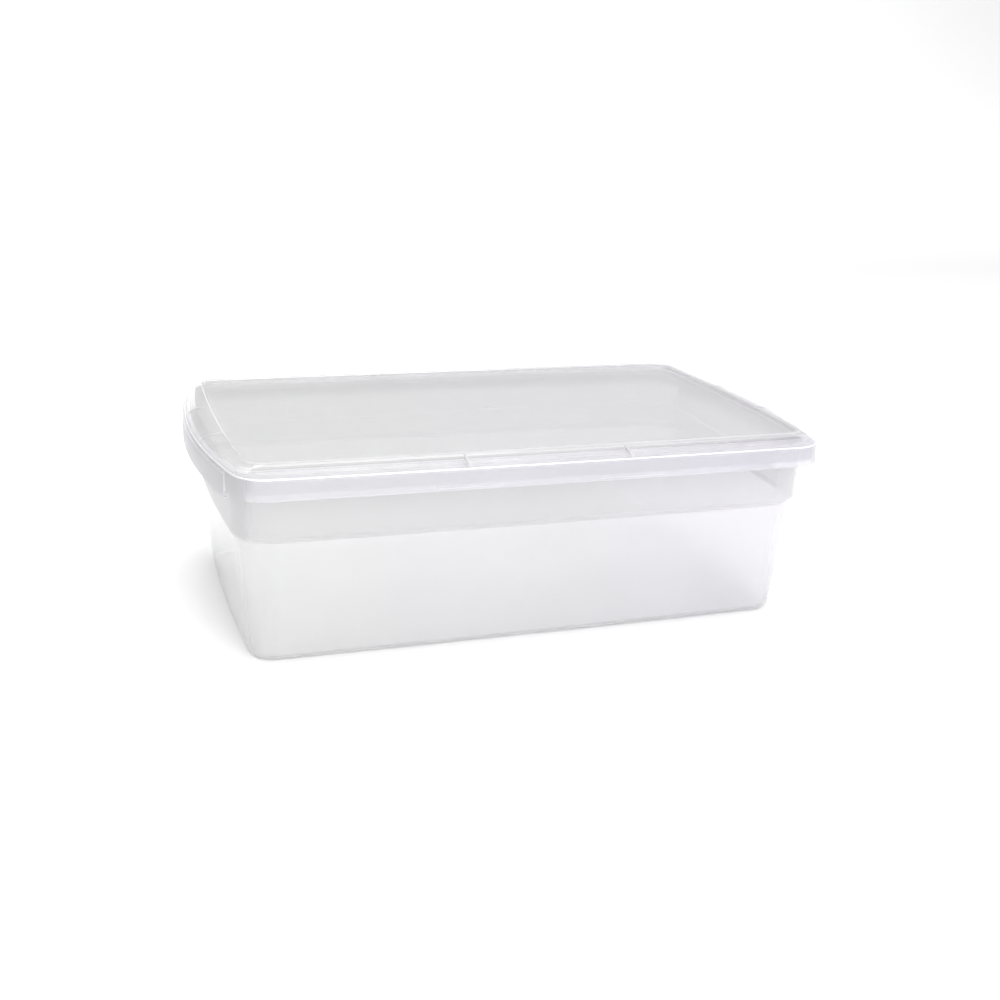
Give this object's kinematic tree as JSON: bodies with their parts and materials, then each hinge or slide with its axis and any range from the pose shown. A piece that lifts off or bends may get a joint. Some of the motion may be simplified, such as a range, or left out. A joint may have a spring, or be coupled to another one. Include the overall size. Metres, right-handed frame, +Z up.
{
  "type": "shoe box",
  "caption": "Clear plastic shoe storage box: a drafted, stepped open tub and a push-on lid with a raised rail that takes the foot of another box stacked on top.",
  "frame": {"origin": "on the floor under the middle of the box, at the bottom face of the tub", "axes": "+X along the length of the box, +Y across its width, +Z up through the lid"},
  "size_m": [0.349, 0.21, 0.111],
  "materials": {
    "clear_tub": "clear polypropylene, smooth gloss, slightly milky",
    "clear_lid": "clear polypropylene, smooth gloss, slightly milky"
  },
  "bodies": {
    "base": {"base_tub": "clear_tub"},
    "lid": {"lid": "clear_lid"}
  },
  "joints": [
    {"name": "lid_lift", "type": "slide", "parent": "base", "child": "lid", "axis": [0, 0, 1], "range_m": [0, 0.12]}
  ]
}
